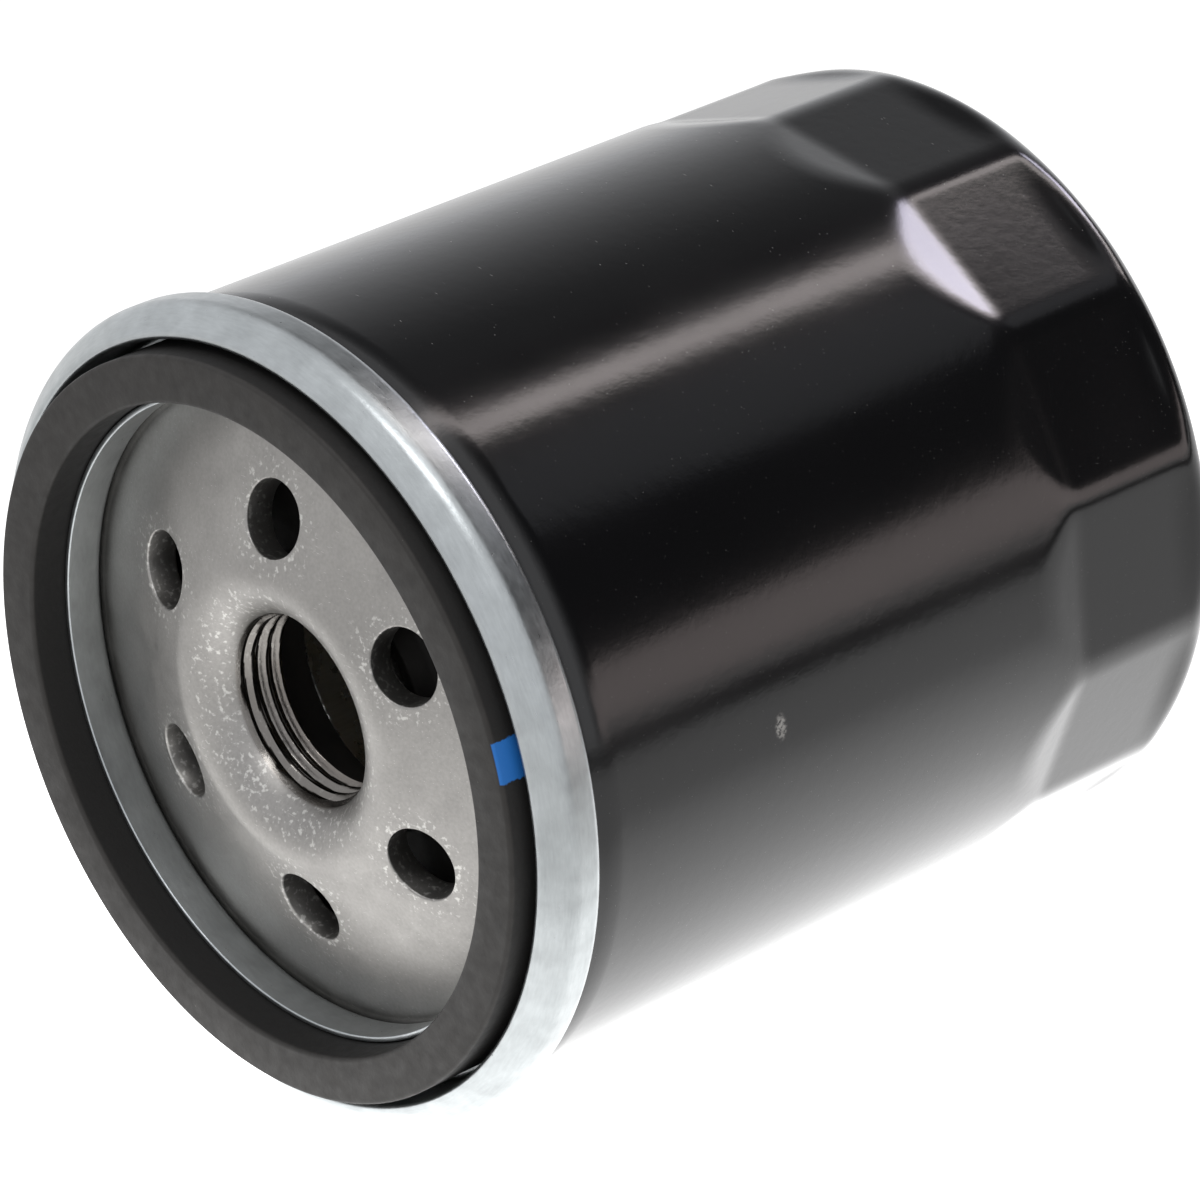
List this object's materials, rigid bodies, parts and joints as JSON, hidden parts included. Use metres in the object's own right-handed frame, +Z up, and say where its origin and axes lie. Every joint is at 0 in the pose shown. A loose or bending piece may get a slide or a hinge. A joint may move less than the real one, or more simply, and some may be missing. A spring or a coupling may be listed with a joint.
{
  "type": "oil filter",
  "caption": "Spin-on oil filter: a black can with wrench flats, a zinc seam ring, a proud rubber gasket, and a base plate with a threaded neck and oil inlets.",
  "frame": {"origin": "on the thread's axis, at the mouth of the base plate's threaded neck", "axes": "the filter lies on its side: -Y points out of the open end towards the engine, +Y towards the closed end, and +Z is up"},
  "size_m": [0.0786, 0.0908, 0.0786],
  "materials": {
    "black_paint": "semi-gloss black coating on drawn sheet steel",
    "zinc_plate": "zinc-plated sheet steel, matte",
    "bare_steel": "bare pressed steel, oiled and lightly stained",
    "gasket_rubber": "moulded nitrile rubber, matte",
    "diaphragm_rubber": "moulded nitrile rubber",
    "tinplate": "tin-plated sheet steel",
    "spring_steel": "drawn spring wire",
    "filter_paper": "resin-cured cellulose filter paper",
    "plastisol": "cured plastisol adhesive",
    "seam_compound": "cured seam sealing compound"
  },
  "bodies": {
    "housing": {"can": "black_paint", "seaming_lid": "zinc_plate", "seam_compound": "seam_compound", "base_plate": "bare_steel", "gasket": "gasket_rubber", "front_end_cap": "tinplate", "front_adhesive": "plastisol", "pleated_paper": "filter_paper", "pleat_seam_clip": "tinplate", "centre_tube": "tinplate", "rear_adhesive": "plastisol", "rear_end_cap": "tinplate", "bypass_seat": "tinplate", "bypass_cage": "tinplate", "bypass_spring": "spring_steel", "element_spring": "spring_steel"},
    "bypass_valve": {"bypass_disc": "tinplate", "bypass_seal": "diaphragm_rubber", "bypass_pin": "spring_steel"},
    "drain_back_flap": {"anti_drain_back_valve": "diaphragm_rubber"}
  },
  "joints": [
    {"name": "bypass_lift", "type": "slide", "parent": "housing", "child": "bypass_valve", "axis": [0, -1, 0], "range_m": [0, 0.003], "stiffness_N_per_m": 2500, "springref_m": -0.0038, "deforming": ["bypass_spring"]},
    {"name": "drain_back_lift", "type": "slide", "parent": "housing", "child": "drain_back_flap", "axis": [0, 1, 0], "range_m": [0, 0.0015], "stiffness_N_per_m": 200, "springref_m": -0.0005, "deforming": ["anti_drain_back_valve"]}
  ]
}
